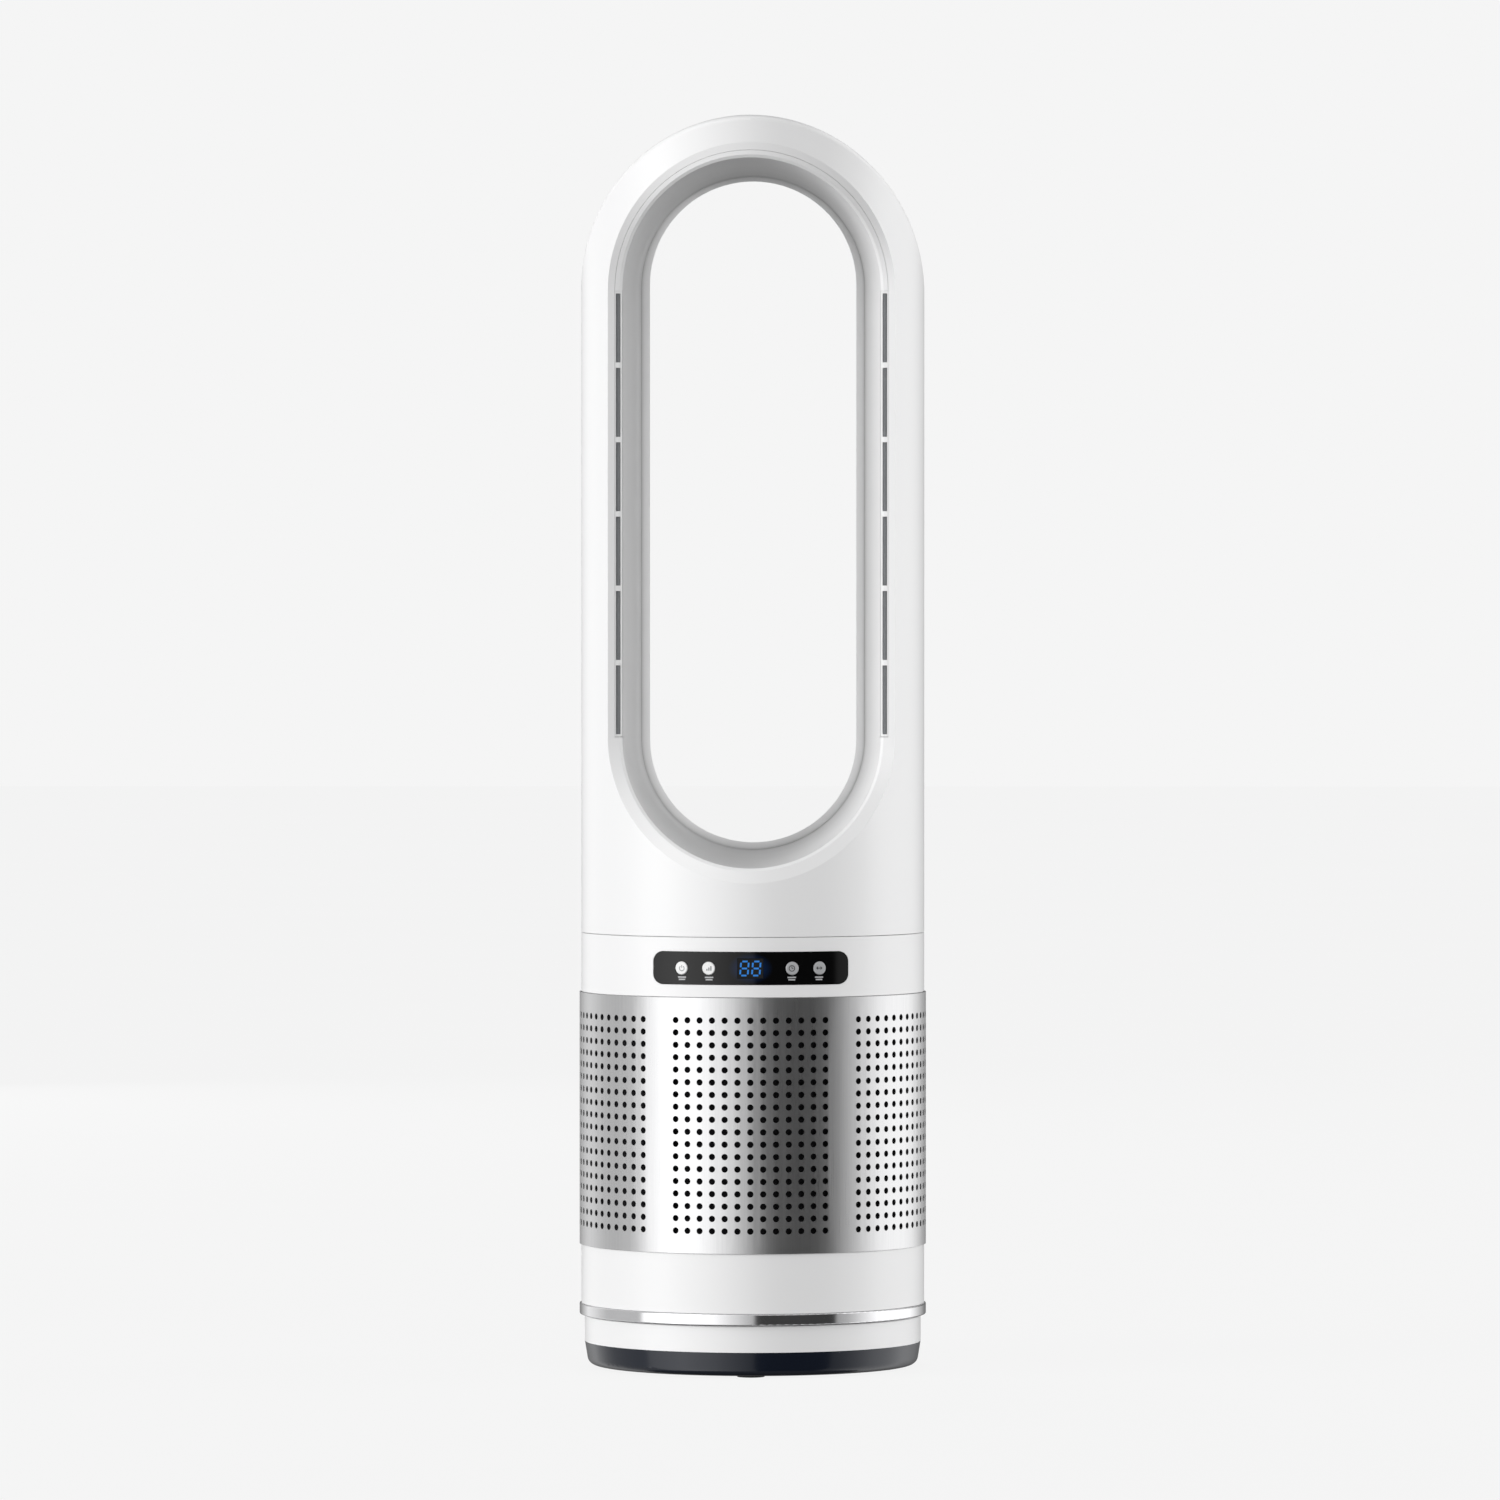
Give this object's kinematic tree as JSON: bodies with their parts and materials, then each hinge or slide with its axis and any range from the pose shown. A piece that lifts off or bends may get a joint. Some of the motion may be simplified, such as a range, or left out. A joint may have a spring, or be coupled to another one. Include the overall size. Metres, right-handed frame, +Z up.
{
  "type": "tower fan",
  "caption": "Bladeless tower fan with an upright ring head, side air slots, a perforated metal intake sleeve, a touch panel and a swivelling column on a round base.",
  "frame": {"origin": "centre of the footprint, on the surface the feet stand on", "axes": "+Z up along the column, the control panel and outlets face -Y, +X is the fan's left-hand side seen from behind the panel (to the right when looking at the panel)"},
  "size_m": [0.2, 0.2, 0.7176],
  "materials": {
    "white_shell": "satin gloss",
    "black_tray": "gloss",
    "bright_metal": "polished",
    "brushed_sleeve": "vertical brushed",
    "black_lens": "high gloss",
    "button_white": "gloss",
    "button_grey": "gloss",
    "display_dark": "gloss",
    "display_blue": "lit",
    "soft_rubber": "matt",
    "inner_plastic": "matt",
    "grey_plastic": "matt",
    "filter_foam": "open foam",
    "screw_steel": "zinc plated",
    "gear_plastic": "moulded acetal",
    "board_green": "solder mask",
    "motor_steel": "plated",
    "copper_wire": "enamelled wire",
    "blower_grey": "moulded",
    "lead_black": "insulation"
  },
  "bodies": {
    "base": {"base_tray": "black_tray", "rubber_feet": "soft_rubber", "base_cover": "white_shell", "base_screws": "screw_steel", "cord_gland": "soft_rubber", "swivel_gear": "gear_plastic", "base_lead": "lead_black"},
    "column": {"column_floor": "inner_plastic", "retaining_ring": "screw_steel", "retaining_screws": "screw_steel", "chrome_ring": "bright_metal", "lower_shell": "white_shell", "lower_shell_screws": "screw_steel", "perforated_grille": "brushed_sleeve", "grille_frame": "inner_plastic", "inlet_filter": "filter_foam", "inlet_floor": "inner_plastic", "stepper_motor": "motor_steel", "column_lead": "lead_black", "wiring_loom": "lead_black", "power_board": "board_green", "power_parts": "inner_plastic", "control_collar": "white_shell", "control_lens": "black_lens", "button_guide": "inner_plastic", "control_board": "board_green", "tact_switches": "inner_plastic", "display_module": "display_dark", "display_digits": "display_blue", "bulkhead": "grey_plastic", "blower_shroud": "blower_grey", "damper_ring": "soft_rubber", "blower_screws": "screw_steel", "motor_bucket": "blower_grey", "motor_case": "motor_steel", "motor_stator": "motor_steel", "stator_windings": "copper_wire", "motor_bearings": "screw_steel", "duct_tube": "grey_plastic", "head_floor": "grey_plastic", "head_floor_screws": "screw_steel", "head_front_shell": "white_shell", "head_rear_shell": "white_shell", "nozzle_liner": "white_shell", "left_outlet_strip": "white_shell", "right_outlet_strip": "white_shell", "head_screws": "screw_steel"},
    "bearing": {"bearing_cage": "gear_plastic", "bearing_balls": "screw_steel"},
    "pinion": {"drive_pinion": "gear_plastic"},
    "rotor": {"motor_rotor": "motor_steel", "motor_shaft": "screw_steel", "impeller": "blower_grey", "impeller_nut": "blower_grey"},
    "button_power": {"button_power": "button_white"},
    "button_speed": {"button_speed": "button_white"},
    "button_timer": {"button_timer": "button_grey"},
    "button_swing": {"button_swing": "button_grey"}
  },
  "joints": [
    {"name": "swivel", "type": "hinge", "parent": "base", "child": "column", "pos_m": [0, 0, 0.0325], "axis": [0, 0, 1], "range_deg": [-40, 40]},
    {"name": "bearing_turn", "type": "hinge", "parent": "base", "child": "bearing", "pos_m": [0, 0, 0.03045], "axis": [0, 0, 1], "range_deg": [-20, 20]},
    {"name": "pinion_turn", "type": "hinge", "parent": "column", "child": "pinion", "pos_m": [0.039, 0, 0.0304], "axis": [0, 0, 1], "range_deg": [-134, 134]},
    {"name": "impeller_spin", "type": "hinge", "parent": "column", "child": "rotor", "pos_m": [0, 0, 0.134], "axis": [0, 0, 1], "continuous": true},
    {"name": "button_power_press", "type": "slide", "parent": "column", "child": "button_power", "axis": [0.3955, 0.9184, 0], "range_m": [0, 0.0004], "stiffness_N_per_m": 400, "springref_m": -0.0002},
    {"name": "button_speed_press", "type": "slide", "parent": "column", "child": "button_speed", "axis": [0.2394, 0.9709, 0], "range_m": [0, 0.0004], "stiffness_N_per_m": 400, "springref_m": -0.0002},
    {"name": "button_timer_press", "type": "slide", "parent": "column", "child": "button_timer", "axis": [-0.2394, 0.9709, 0], "range_m": [0, 0.0004], "stiffness_N_per_m": 400, "springref_m": -0.0002},
    {"name": "button_swing_press", "type": "slide", "parent": "column", "child": "button_swing", "axis": [-0.3955, 0.9184, 0], "range_m": [0, 0.0004], "stiffness_N_per_m": 400, "springref_m": -0.0002}
  ],
  "couplings": [
    {"joint": "bearing_turn", "follows": "swivel", "ratio": 0.5},
    {"joint": "pinion_turn", "follows": "swivel", "ratio": 3.3333}
  ]
}
